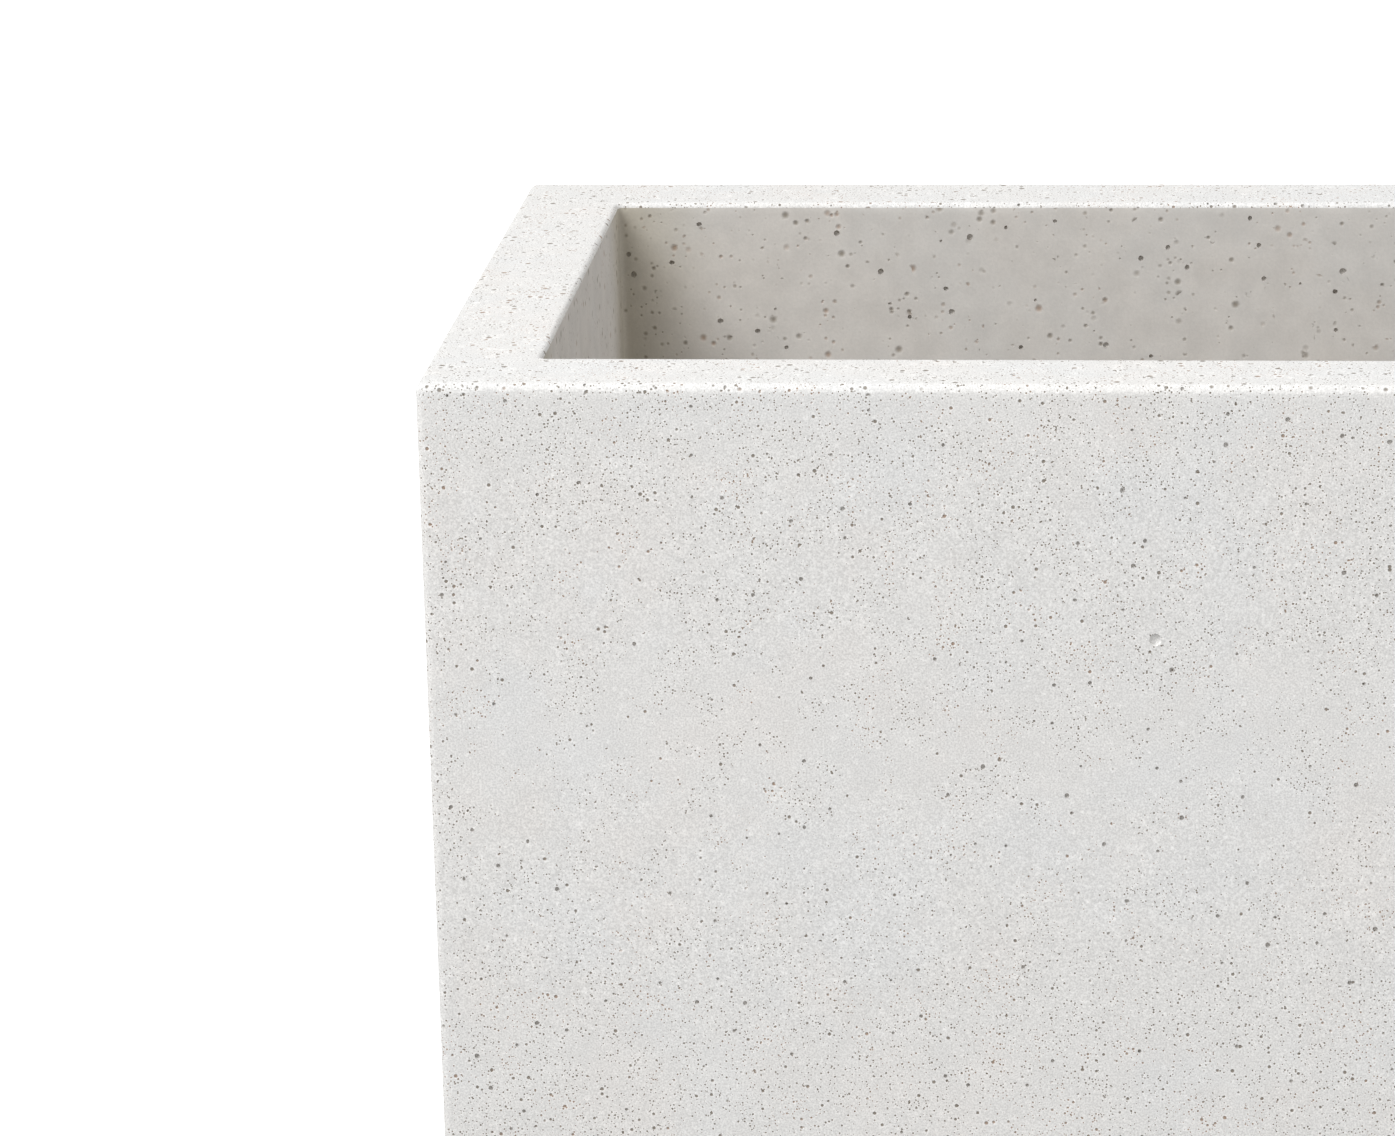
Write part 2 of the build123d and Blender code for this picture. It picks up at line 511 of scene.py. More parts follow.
@dataclass(frozen=True)
class RodFinish:
    """Drawn steel rod: dull mill finish with a few warm patches."""

    name: str
    steel: Colour
    patch: Colour
    patch_size: float = 18.0
    grain_size: float = 0.3
    grain_height: float = 0.02

    def material(self) -> bpy.types.Material:
        """Builds the material.

        Returns:
            The material.
        """
        material, graph, surface = new_material(self.name)
        place = millimetres(graph)
        patch = graph.spread(graph.noise(place, self.patch_size, 5, 0.7), 0.5, 0.7, 0, 0.6)
        graph.feed(surface.inputs["Base Color"], graph.mix(patch, self.steel, self.patch))
        surface.inputs["Metallic"].default_value = 1.0
        graph.feed(surface.inputs["Roughness"], graph.spread(patch, 0, 0.6, 0.42, 0.7))
        grain = graph.noise(place, self.grain_size, 2)
        raise_surface(graph, surface, graph.math("MULTIPLY", grain, self.grain_height))
        return material


MICRO_HOLES = PinholeLayer(
    cell=0.95, smallest=0.20, largest=0.34, share=0.80, rim_share=0.74, darkness=0.96, depth=0.10
)
SMALL_HOLES = PinholeLayer(
    cell=2.0, smallest=0.28, largest=0.60, share=0.60, rim_share=0.65, darkness=0.92, depth=0.22
)
RIM_PITS = PinholeLayer(
    cell=2.8, smallest=0.5, largest=1.1, share=0.0, rim_share=0.55, darkness=0.85, depth=0.3,
    flat=0.4,
)
CORE_GRIT = PinholeLayer(
    cell=2.5, smallest=0.4, largest=0.9, share=0.80, rim_share=0.80, darkness=0.62, depth=0.15,
    flat=0.15,
)
CORE_HOLES = PinholeLayer(
    cell=4.2, smallest=0.75, largest=1.5, share=0.80, rim_share=0.80, darkness=0.78, depth=0.3,
    flat=0.1,
)

FACE_CONCRETE = ConcreteFinish(
    name="cast_concrete_face",
    paste=(0.820, 0.811, 0.794),
    warm_paste=(0.827, 0.808, 0.786),
    cool_paste=(0.812, 0.810, 0.801),
    pit_colour=(0.235, 0.20, 0.16),
    layers=(MICRO_HOLES, SMALL_HOLES, RIM_PITS),
)
SHADED_CORE_CONCRETE = ConcreteFinish(
    name="cast_concrete_core",
    # Painted shade: these pastes are darker than the face's, to paint in the cavity's shade.
    paste=(0.660, 0.634, 0.600),
    warm_paste=(0.654, 0.625, 0.587),
    cool_paste=(0.656, 0.637, 0.609),
    pit_colour=(0.24, 0.205, 0.16),
    layers=(CORE_GRIT, CORE_HOLES),
    cloud_strength=0.08,
    sand_size=0.8,
    sand_strength=0.06,
    halo_highlight=0.02,
    pit_stain_and_shade=0.4,
    corner_crowding=1.5,
    # Painted shade that darkens the cavity's upright corners.
    painted_corner_shade=(0.78, 0.755, 0.68),
    corner_shade_reach=34.0,
)
PLUG_RUBBER = MouldedFinish(
    "moulded_plug_rubber", (0.035, 0.035, 0.036), (0.16, 0.155, 0.15), 0.35, 0.62
)
PAD_RUBBER = MouldedFinish(
    "moulded_pad_rubber", (0.045, 0.045, 0.046), (0.2, 0.195, 0.19), 0.5, 0.72
)
SLEEVE_PLASTIC = MouldedFinish(
    "moulded_sleeve_plastic", (0.45, 0.45, 0.44), (0.62, 0.61, 0.59), 0.45, 0.5
)
ROD_STEEL = RodFinish("drawn_rod_steel", (0.36, 0.34, 0.32), (0.26, 0.17, 0.11))
NODE_FINISHES = {
    Slot.CONCRETE: FACE_CONCRETE,
    Slot.SLEEVE_PLASTIC: SLEEVE_PLASTIC,
    Slot.PLUG_RUBBER: PLUG_RUBBER,
    Slot.PAD_RUBBER: PAD_RUBBER,
    Slot.ROD_STEEL: ROD_STEEL,
}


def dress_nodes(frame: dict) -> None:
    """Gives every CAD node the finish of its slot.
    """
    materials = {slot: finish.material() for slot, finish in NODE_FINISHES.items()}
    for part in frame["record"]["subparts"]:
        node = frame["nodes"][part["node"]]
        for entry in node.material_slots:
            entry.material = materials[Slot(part["material_slot"])]
        log.info("%s: %s", part["node"], part["material_slot"])


# Cast shell


def mesh_object(name: str, points: list[Point], faces: list[tuple[int, ...]]) -> bpy.types.Object:
    """A mesh object at the origin, from points in millimetres.

    Args:
        name: the object's name.
        points: the vertices.
        faces: the vertex numbers of each face.

    Returns:
        The object, linked to the scene.
    """
    mesh = bpy.data.meshes.new(name)
    mesh.from_pydata([Vector(p) * MM for p in points], [], faces)
    piece = bpy.data.objects.new(name, mesh)
    bpy.context.scene.collection.objects.link(piece)
    return piece


@dataclass(frozen=True)
class Section:
    """One horizontal loop round the shell: a rounded rectangle at one height.

    Args:
        half_x: half its length.
        half_y: half its width.
        corner: its corner radius.
        z: its height.
        pit_share: how many air pits the skin has there, from 0 to 1.
        lean: how far its outward normal leans up, in radians, where it runs round an arris.
    """

    half_x: float
    half_y: float
    corner: float
    z: float
    pit_share: float
    lean: float | None = None


@dataclass
class CastShell:
    """The one-piece casting with its eased arrises, drain seats, pad recesses and air pits."""

    length: float = 800.0
    width: float = 260.0
    height: float = 260.0
    base_z: float = 5.0
    floor_z: float = 37.0
    wall: float = 30.0
    outer_draft: float = math.radians(0.3)
    core_draft: float = math.radians(1.0)
    arris: float = 2.3
    inner_arris: float = 1.4
    core_corner: float = 1.6
    cove: float = 10.0
    arris_steps: int = 6
    corner_steps: int = 6
    side_pitch: float = 6.0
    least_corner: float = 0.35
    base_land: tuple[float, float] = (8.0, 1.0)
    arris_flank: float = 2.0
    rim_land: float = 1.5
    cove_land: float = 3.0
    sharp_angle: float = math.radians(38)
    arris_wear: float = 0.16
    inner_wear: float = 0.28
    wear_size: float = 5.0
    drain_places: tuple[float, ...] = (-240.0, 0.0, 240.0)
    dish_radius: float = 23.2
    dish_width: float = 25.0
    dish_depth: float = 3.0
    seat_outline: tuple[tuple[float, float], ...] = (
        (23.2, 30.8), (15.7, 30.8), (15.7, 19.95), (20.2, 19.95), (20.2, 16.55), (15.7, 16.55),
        (15.7, 0.0),
    )
    drain_steps: int = 72
    pad_places: tuple[tuple[float, float], ...] = tuple(
        (x, y) for y in (-82.0, 82.0) for x in (-340.0, 0.0, 340.0)
    )
    pad_steps: int = 48
    pad_recess_radius: float = 22.3
    pad_recess_top: float = 8.0
    smallest_pit: float = 0.45
    largest_pit: float = 0.9
    measured_scale: float = 0.92
    pit_spacing: float = 5.0
    pit_density: float = 2300.0
    pit_clearance: float = 5.0
    pit_seed: int = 11
    bubble_sink: float = 0.35
    bubble_wander: float = 0.4
    large_pit_depth: float = 0.55
    inner_edge_pitch: float = 15.0
    outer_edge_pitch: float = 21.0
    edge_inset: float = 0.9
    edge_wander: float = 0.7
    edge_depth: tuple[float, float] = (0.1, 0.8)
    edge_clearance: float = 4.0
    smallest_edge_pit: float = 0.35
    largest_inner_pit: float = 0.7
    largest_outer_pit: float = 0.55
    least_stretch: Point = (0.85, 0.85, 0.75)
    most_stretch: Point = (1.1, 1.1, 1.15)
    # Pits below these radii take the darker colour inside: part stain, part painted shade.
    dark_radii: tuple[float, float] = (0.5 * MM, 1.6 * MM)
    deep_radii: tuple[float, float] = (0.7 * MM, 1.7 * MM)
    most_wandering: float = 0.8 * MM
    front_pits: tuple[Point, ...] = (
        (-206.0, 191.3, 4.1), (-145.5, 245.2, 1.6), (-389.0, 72.4, 1.8), (-299.0, 207.4, 1.4),
        (-156.9, 209.9, 1.4), (-213.3, 118.8, 1.5), (-157.8, 246.8, 1.4), (-175.9, 106.9, 1.6),
        (-181.5, 124.2, 1.3), (-201.6, 183.1, 1.5), (-223.1, 179.4, 1.3), (-385.5, 63.2, 1.4),
        (-147.6, 111.7, 1.5), (-260.7, 148.0, 1.3), (-393.9, 143.3, 1.3), (-153.1, 151.8, 1.5),
        (-162.9, 107.6, 1.2), (-241.0, 99.8, 1.2), (-376.6, 56.6, 1.2), (-154.1, 96.5, 1.3),
        (-187.3, 252.6, 1.2), (-211.8, 211.5, 1.3), (-227.0, 202.1, 1.2), (-227.9, 143.3, 1.2),
        (-232.5, 178.7, 1.2), (-261.3, 244.0, 1.2), (-270.1, 228.0, 1.2), (-319.5, 229.4, 1.2),
        (-372.4, 82.1, 1.5), (-378.0, 75.7, 1.2), (-388.4, 136.9, 1.2), (-189.2, 114.9, 1.2),
        (-263.9, 185.7, 1.3), (-301.4, 223.2, 1.3), (-321.3, 201.5, 1.2), (-327.4, 229.6, 1.1),
        (-398.0, 80.6, 1.4), (-160.9, 115.8, 1.2), (-205.1, 132.9, 1.1), (-205.4, 156.0, 1.1),
        (-208.7, 218.3, 1.2), (-219.4, 134.7, 1.3), (-233.1, 168.2, 1.2), (-240.9, 190.8, 1.1),
        (-276.0, 80.6, 1.1), (-298.9, 157.1, 1.2), (-318.9, 80.6, 1.1), (-323.5, 111.9, 1.1),
        (-328.8, 88.7, 1.5), (-364.3, 80.2, 1.2), (-381.5, 172.3, 1.1), (-151.4, 179.7, 1.1),
        (-166.9, 228.5, 1.0), (-182.8, 148.2, 1.2), (-207.8, 166.8, 1.1), (-226.2, 217.6, 1.2),
        (-245.4, 133.9, 1.1), (-268.4, 85.5, 1.1), (-288.8, 95.0, 1.2), (-292.2, 143.8, 1.1),
        (-303.4, 74.2, 1.2), (-323.0, 95.4, 1.1), (-324.0, 141.5, 1.1), (-327.4, 241.0, 1.0),
        (-327.2, 254.2, 1.2), (-335.5, 119.6, 1.1), (-353.5, 88.7, 1.1), (-357.4, 233.3, 1.1),
        (-394.5, 202.4, 1.3), (-155.0, 246.3, 1.0), (-169.4, 68.4, 1.1), (-190.8, 239.7, 0.9),
        (-198.3, 230.0, 0.9), (-212.1, 248.2, 1.0), (-260.1, 131.2, 0.9), (-310.6, 161.5, 1.1),
        (-311.8, 202.9, 1.2), (-391.0, 123.0, 1.1), (-358.0, 179.9, 0.9), (-380.3, 51.4, 1.1),
        (-356.7, 166.3, 0.9), (-214.4, 199.5, 0.9), (-307.4, 241.4, 0.9), (-314.5, 135.4, 0.9),
    )
    core_back_pits: tuple[Point, ...] = (
        (-153.4, 239.4, 2.4), (-264.4, 249.7, 2.4), (-291.2, 239.2, 2.3), (-223.8, 216.8, 2.3),
        (-270.0, 226.9, 2.1), (-304.3, 250.9, 2.1), (-213.4, 243.3, 1.9), (-271.7, 234.0, 1.8),
        (-339.7, 224.0, 2.0), (-199.7, 240.6, 1.8), (-328.5, 220.9, 1.8), (-354.1, 241.9, 1.8),
        (-365.7, 238.2, 2.0), (-176.8, 237.2, 1.8), (-178.4, 247.3, 1.6), (-181.1, 255.5, 1.6),
        (-367.1, 244.4, 1.8), (-155.7, 233.3, 1.8), (-205.4, 246.7, 1.6), (-282.6, 225.3, 1.7),
        (-345.7, 253.6, 1.7), (-239.0, 254.6, 1.5), (-155.3, 221.6, 1.5), (-249.3, 216.1, 1.5),
        (-319.9, 215.9, 1.5),
    )

    def half_outer(self, z: float, axis_size: float) -> float:
        """Half the casting's outer size at a height."""
        return axis_size / 2 - (self.height - z) * math.tan(self.outer_draft)

    def half_core(self, z: float, axis_size: float) -> float:
        """Half the core's size at a height."""
        return axis_size / 2 - self.wall - (self.height - z) * math.tan(self.core_draft)

    def outer(
        self, z: float, inset: float, pit_share: float, lean: float | None = None
    ) -> Section:
        """Makes a loop of the outside, drawn in where it runs round an arris.

        Args:
            z: its height.
            inset: how far it is drawn in.
            pit_share: how many air pits the skin has there.
            lean: how far its normal leans up, on an arris.

        Returns:
            The loop.
        """
        half_x = self.half_outer(z, self.length) - inset
        half_y = self.half_outer(z, self.width) - inset
        corner = max(self.arris - inset, self.least_corner)
        return Section(half_x, half_y, corner, z, pit_share, lean)

    def core(
        self, z: float, outset: float, pit_share: float, lean: float | None = None
    ) -> Section:
        """Makes a loop of the core's skin, let out round the inner arris and drawn in on the cove.

        Args:
            z: its height.
            outset: how far it is let out.
            pit_share: how many air pits the skin has there.
            lean: how far its normal leans up, on an arris.

        Returns:
            The loop.
        """
        half_x = self.half_core(z, self.length) + outset
        half_y = self.half_core(z, self.width) + outset
        corner = max(self.core_corner + outset, self.least_corner)
        return Section(half_x, half_y, corner, z, pit_share, lean)

    def sections(self) -> list[Section]:
        """Lists every loop, from the underside up the outside, over the rim and down inside.

        Returns:
            The loops in order.
        """
        under, foot, wall, rim, lip, cove = 0.1, 0.4, 0.5, 0.6, 0.8, 0.3
        r, q, flank = self.arris, self.inner_arris, self.arris_flank
        turns = [math.pi / 2 * i / self.arris_steps for i in range(self.arris_steps + 1)]
        loops = [self.outer(self.base_z, r + land, under) for land in self.base_land]
        for a in turns:
            z, inset = self.base_z + r * (1 - math.cos(a)), r * (1 - math.sin(a))
            loops.append(self.outer(z, inset, foot, a - math.pi / 2))
        loops.append(self.outer(self.base_z + r + flank, 0, wall))
        loops.append(self.outer(self.height - r - flank, 0, wall))
        for a in turns:
            z, inset = self.height - r * (1 - math.sin(a)), r * (1 - math.cos(a))
            loops.append(self.outer(z, inset, rim, a))
        loops.append(self.outer(self.height, r + self.rim_land, rim))
        loops.append(self.core(self.height, q + self.rim_land, rim))
        for a in reversed(turns):
            z, outset = self.height - q * (1 - math.sin(a)), q * (1 - math.cos(a))
            loops.append(self.core(z, outset, lip, a))
        loops.append(self.core(self.height - q - flank, 0, wall))
        loops.append(self.core(self.floor_z + self.cove + flank, 0, wall))
        for a in turns:
            z, inset = self.floor_z + self.cove * (1 - math.sin(a)), self.cove * (1 - math.cos(a))
            loops.append(self.core(z, -inset, cove))
        loops.append(self.core(self.floor_z, -self.cove - self.cove_land, under))
        return loops

    def loop_points(self, section: Section) -> list[tuple[Point, Vector]]:
        """Lists the points of a loop, the same number for every loop.

        Args:
            section: the loop.

        Returns:
            Each point with the direction that the loop faces there.
        """
        x, y, r = section.half_x - section.corner, section.half_y - section.corner, section.corner
        long_steps = round(self.length / self.side_pitch)
        short_steps = round(self.width / self.side_pitch)
        corners = ((x, -y, -90), (x, y, 0), (-x, y, 90), (-x, -y, 180))
        side_steps = (short_steps, long_steps, short_steps, long_steps)
        points = []
        for i, (cx, cy, start) in enumerate(corners):
            for k in range(self.corner_steps + 1):
                a = math.radians(start + 90 * k / self.corner_steps)
                out = Vector((math.cos(a), math.sin(a), 0))
                points.append(((cx + r * math.cos(a), cy + r * math.sin(a)), out))
            (ax, ay), out = points[-1]
            bx, by, turn = corners[(i + 1) % 4]
            ex, ey = bx + r * out.x, by + r * out.y
            for k in range(1, side_steps[i]):
                t = k / side_steps[i]
                points.append(((ax + (ex - ax) * t, ay + (ey - ay) * t), out))
        return [((px, py, section.z), out) for (px, py), out in points]

    def block(self) -> bpy.types.Object:
        """Makes the plain casting as one closed mesh, with its arrises a little worn.

        Returns:
            The object, which keeps each point's share of air pits.
        """
        points, shares, faces = [], [], []
        sections = self.sections()
        half_rim = self.length / 2 - self.wall / 2
        on_core = [s.z == self.height and s.half_x < half_rim for s in sections]
        core_from = on_core.index(True)
        for i, section in enumerate(sections):
            wear = self.inner_wear if i >= core_from else self.arris_wear
            for place, out in self.loop_points(section):
                outward = -out if i >= core_from else out
                points.append(self.worn(Vector(place), outward, section, wear))
                shares.append(section.pit_share)
        count = len(points) // len(sections)
        for i in range(len(sections) - 1):
            low, high = i * count, (i + 1) * count
            for k in range(count):
                n = (k + 1) % count
                faces.append((low + k, low + n, high + n, high + k))
        faces.append(tuple(reversed(range(count))))
        faces.append(tuple(range((len(sections) - 1) * count, len(sections) * count)))
        shell = mesh_object("cast_shell", points, faces)
        share = shell.data.attributes.new("pit_share", "FLOAT", "POINT")
        share.data.foreach_set("value", shares)
        return shell

    def worn(self, place: Vector, outward: Vector, section: Section, wear: float) -> Vector:
        """Pushes a point in a little where its loop runs round an arris.

        Args:
            place: the point.
            outward: the level direction that the skin faces.
            section: the point's loop.
            wear: the most that it is pushed in.

        Returns:
            The point's new place.
        """
        if section.lean is None:
            return place
        normal = outward * math.cos(section.lean) + Vector((0, 0, math.sin(section.lean)))
        broad = abs(noise.noise(place / self.wear_size))
        fine = abs(noise.noise(place / self.wear_size * 2.7))
        edge = math.sin(2 * abs(section.lean))
        return place - normal * (wear * (broad + 0.5 * fine) * edge)

    def cutters(self) -> bpy.types.Object:
        """Makes the dishes, sleeve seats and pad recesses, as closed solids to be cut away.

        Returns:
            The object that holds them all.
        """
        lip = 6.0
        slope = self.dish_width / self.dish_depth
        drain = [
            (self.dish_radius + self.dish_width + lip * slope, self.floor_z + lip),
            (self.dish_radius, self.floor_z - self.dish_depth),
            *self.seat_outline,
        ]
        pad = [(self.pad_recess_radius, self.pad_recess_top), (self.pad_recess_radius, 0.0)]
        points, faces = [], []
        for x in self.drain_places:
            self.turn(drain, (x, 0.0), self.drain_steps, points, faces)
        for place in self.pad_places:
            self.turn(pad, place, self.pad_steps, points, faces)
        return mesh_object("seat_cutters", points, faces)

    @staticmethod
    def turn(
        outline: list[tuple[float, float]],
        centre: tuple[float, float],
        steps: int,
        points: list[Point],
        faces: list[tuple[int, ...]],
    ) -> None:
        """Adds a solid turned about an upright axis, from the top of its outline down.

        Args:
            outline: the radius and height of each ring.
            centre: where the axis stands.
            steps: the number of points in a ring.
            points: the list that the points are added to.
            faces: the list that the faces are added to.
        """
        x, y = centre
        first = len(points)
        for r, z in outline:
            for k in range(steps):
                a = 2 * math.pi * k / steps
                points.append((x + r * math.cos(a), y + r * math.sin(a), z))
        for i in range(len(outline) - 1):
            for k in range(steps):
                n = (k + 1) % steps
                top, low = first + i * steps, first + (i + 1) * steps
                faces.append((low + k, low + n, top + n, top + k))
        faces.append(tuple(first + k for k in range(steps)))
        last = first + (len(outline) - 1) * steps
        faces.append(tuple(last + k for k in reversed(range(steps))))

    def measured_pits(self) -> bpy.types.Object:
        """Makes the larger pits at their places on the front and on the back inside wall.

        Returns:
            The object that the geometry tree reads.
        """
        pits = []
        for x, z, size in self.front_pits:
            place = (x, -self.half_outer(z, self.width), z)
            pits.append((place, size / 2 * self.measured_scale, (0.0, -1.0, 0.0)))
        for x, z, size in self.core_back_pits:
            place = (x, self.half_core(z, self.width), z)
            pits.append((place, size / 2 * self.measured_scale, (0.0, -1.0, 0.0)))
        return self.pit_points("measured_pits", pits)

    def edge_pits(self) -> bpy.types.Object:
        """Makes the small pits that break the rim's inner and outer arris here and there.

        Returns:
            The object that the geometry tree reads.
        """
        chance = random.Random(self.pit_seed)
        smallest = self.smallest_edge_pit
        pits = []
        edges = (
            (self.wall - self.edge_inset, self.inner_edge_pitch, self.largest_inner_pit),
            (self.edge_inset, self.outer_edge_pitch, self.largest_outer_pit),
        )
        for inset, pitch, largest in edges:
            half_x, half_y = self.length / 2 - inset, self.width / 2 - inset
            for half, across, along_x in ((half_x, half_y, True), (half_y, half_x, False)):
                for side in (-1.0, 1.0):
                    at = -half + pitch
                    while at < half - self.edge_clearance:
                        radius = smallest + (largest - smallest) * chance.random() ** 2
                        off = side * (across + chance.uniform(-self.edge_wander, self.edge_wander))
                        z = self.height - chance.uniform(*self.edge_depth)
                        place = (at, off, z) if along_x else (off, at, z)
                        pits.append((place, radius, (0.0, 0.0, 1.0)))
                        at += pitch * chance.uniform(0.5, 1.5)
        return self.pit_points("edge_pits", pits)

    @staticmethod
    def pit_points(name: str, pits: list[tuple[Point, float, Point]]) -> bpy.types.Object:
        """Points that hold each pit's radius and the direction it opens to.

        Args:
            name: the object's name.
            pits: each pit's place, radius in millimetres and direction.

        Returns:
            The object that the geometry tree reads.
        """
        piece = mesh_object(name, [place for place, _, _ in pits], [])
        radii = [radius * MM for _, radius, _ in pits]
        normals = [value for _, _, normal in pits for value in normal]
        rows = (
            ("pit_radius", "FLOAT", "value", radii),
            ("pit_normal", "FLOAT_VECTOR", "vector", normals),
        )
        for attribute, kind, key, values in rows:
            layer = piece.data.attributes.new(attribute, kind, "POINT")
            layer.data.foreach_set(key, values)
        return piece

    def pit_tree(self) -> bpy.types.NodeTree:
        """Makes the geometry tree that cuts the air pits and the seats out of the casting.

        Returns:
            The tree, with named inputs.
        """
        tree = bpy.data.node_groups.new("pitted_casting", "GeometryNodeTree")
        entries = {
            "Casting": "Geometry",
            "Measured Pits": "Object",
            "Edge Pits": "Object",
            "Seats": "Object",
            "Spacing": "Float",
            "Density": "Float",
            "Smallest Radius": "Float",
            "Largest Radius": "Float",
            "Clearance": "Float",
            "Seed": "Int",
            "Face Concrete": "Material",
            "Core Concrete": "Material",
        }
        for name, kind in entries.items():
            tree.interface.new_socket(name, in_out="INPUT", socket_type=f"NodeSocket{kind}")
        tree.interface.new_socket("Casting", in_out="OUTPUT", socket_type="NodeSocketGeometry")
        graph = Graph(tree)
        entry = graph.node("NodeGroupInput").outputs
        measured, edges, seats = (
            graph.out("GeometryNodeObjectInfo", "Geometry", {"Object": entry[name]})
            for name in ("Measured Pits", "Edge Pits", "Seats")
        )
        pits = graph.node("GeometryNodeJoinGeometry")
        for source in (
            self.placed_bubbles(graph, measured, 3),
            self.placed_bubbles(graph, edges, 2),
            self.scattered_bubbles(graph, entry, measured),
        ):
            tree.links.new(source, pits.inputs[0])
        solid = entry["Casting"]
        for cutter in (self.uneven(graph, pits.outputs[0]), seats):
            feeds = {"Mesh 1": solid}
            cut = graph.node(
                "GeometryNodeMeshBoolean", feeds, operation="DIFFERENCE", solver="MANIFOLD"
            )
            graph.feed(cut.inputs["Mesh 2"], cutter)
            solid = cut.outputs[0]
        smooth = graph.out("GeometryNodeSetShadeSmooth", 0, {"Geometry": solid})
        feeds = {"Geometry": smooth, "Material": entry["Face Concrete"]}
        faced = graph.out("GeometryNodeSetMaterial", 0, feeds)
        feeds = {"Geometry": faced, "Selection": self.inside_core(graph)}
        feeds["Material"] = entry["Core Concrete"]
        cored = graph.out("GeometryNodeSetMaterial", 0, feeds)
        whole = graph.out("GeometryNodeRealizeInstances", 0, {"Geometry": cored})
        graph.node("NodeGroupOutput", {0: whole})
        return tree

    def inside_core(self, graph: Graph) -> Socket:
        """Finds the skin that the core left, below the inner arris.

        Args:
            graph: the geometry tree's graph.

        Returns:
            1 on that skin and 0 elsewhere.
        """
        place = graph.node("ShaderNodeSeparateXYZ", {0: graph.out("GeometryNodeInputPosition", 0)})
        x, y, z = place.outputs
        half_x = (self.length / 2 - self.wall + 3) * MM
        half_y = (self.width / 2 - self.wall + 3) * MM
        top = (self.height - self.inner_arris) * MM
        bottom = (self.floor_z - self.dish_depth - 0.5) * MM
        long_way = graph.math("LESS_THAN", graph.math("ABSOLUTE", x), half_x)
        wide_way = graph.math("LESS_THAN", graph.math("ABSOLUTE", y), half_y)
        level = graph.math("MULTIPLY", long_way, wide_way)
        low, high = graph.math("LESS_THAN", z, top), graph.math("GREATER_THAN", z, bottom)
        return graph.math("MULTIPLY", level, graph.math("MULTIPLY", low, high))

    def bubble(
        self, graph: Graph, points: Socket, radius: Socket, rotation: Socket, fineness: int
    ) -> Socket:
        """Puts a low-poly bubble under each point. Small pits get a darker colour inside, part
        stain and part painted shade.

        Args:
            graph: the geometry tree's graph.
            points: where the bubbles go.
            radius: each bubble's radius.
            rotation: how each bubble is turned.
            fineness: the subdivisions of a bubble.

        Returns:
            The bubbles, which keep their radius and darkness.
        """
        kept = points
        dark = graph.spread(radius, *self.dark_radii, 1.0, 0.0)
        for name, value in (("bubble_radius", radius), ("in_pit", dark)):
            feeds = {"Geometry": kept, "Name": name, "Value": value}
            kept = graph.out(
                "GeometryNodeStoreNamedAttribute", 0, feeds, data_type="FLOAT", domain="POINT"
            )
        feeds = {"Radius": 1.0, "Subdivisions": fineness}
        ball = graph.out("GeometryNodeMeshIcoSphere", 0, feeds)
        feeds = {"Geometry": ball, "Translation": (0.0, 0.0, -self.bubble_sink)}
        ball = graph.out("GeometryNodeTransform", 0, feeds)
        feeds = {"Min": self.least_stretch, "Max": self.most_stretch, "Seed": 5}
        stretch = graph.node("FunctionNodeRandomValue", feeds, data_type="FLOAT_VECTOR")
        size = graph.scaled(graph.first(stretch), radius)
        shallow = graph.spread(radius, *self.deep_radii, 1.0, self.large_pit_depth)
        flatter = graph.out("ShaderNodeCombineXYZ", 0, {0: 1.0, 1: 1.0, 2: shallow})
        size = graph.vector("MULTIPLY", size, flatter)
        feeds = {"Points": kept, "Instance": ball, "Rotation": rotation, "Scale": size}
        balls = graph.out("GeometryNodeInstanceOnPoints", 0, feeds)
        return graph.out("GeometryNodeRealizeInstances", 0, {"Geometry": balls})

    def placed_bubbles(self, graph: Graph, points: Socket, fineness: int) -> Socket:
        """Makes the bubbles at given places.

        Args:
            graph: the geometry tree's graph.
            points: the places, with their radius and direction.
            fineness: the subdivisions of a bubble.

        Returns:
            The bubbles.
        """
        feeds = {"Vector": graph.attribute("pit_normal", "FLOAT_VECTOR")}
        rotation = graph.out("FunctionNodeAlignRotationToVector", 0, feeds, axis="Z")
        return self.bubble(graph, points, graph.attribute("pit_radius"), rotation, fineness)

    def scattered_bubbles(
        self, graph: Graph, entry: bpy.types.bpy_prop_collection, measured: Socket
    ) -> Socket:
        """Makes bubbles at random over the casting, clear of the measured ones.

        Args:
            graph: the geometry tree's graph.
            entry: the tree's inputs.
            measured: the measured pits' places.

        Returns:
            The bubbles.
        """
        feeds = {
            "Mesh": entry["Casting"],
            "Distance Min": entry["Spacing"],
            "Density Max": entry["Density"],
            "Density Factor": graph.attribute("pit_share"),
            "Seed": entry["Seed"],
        }
        scatter = graph.node(
            "GeometryNodeDistributePointsOnFaces", feeds, distribute_method="POISSON"
        )
        gap = graph.node("GeometryNodeProximity", {0: measured}, target_element="POINTS")
        near = graph.math("LESS_THAN", gap.outputs["Distance"], entry["Clearance"])
        feeds = {"Geometry": scatter.outputs["Points"], "Selection": near}
        clear = graph.out("GeometryNodeDeleteGeometry", 0, feeds, domain="POINT")
        feeds = {"Min": 0.0, "Max": 1.0, "Seed": 3}
        chance = graph.node("FunctionNodeRandomValue", feeds, data_type="FLOAT")
        reach = graph.math("POWER", graph.first(chance), 3.0)
        span = graph.math("SUBTRACT", entry["Largest Radius"], entry["Smallest Radius"])
        radius = graph.math("MULTIPLY_ADD", reach, span, entry["Smallest Radius"])
        return self.bubble(graph, clear, radius, scatter.outputs["Rotation"], 2)

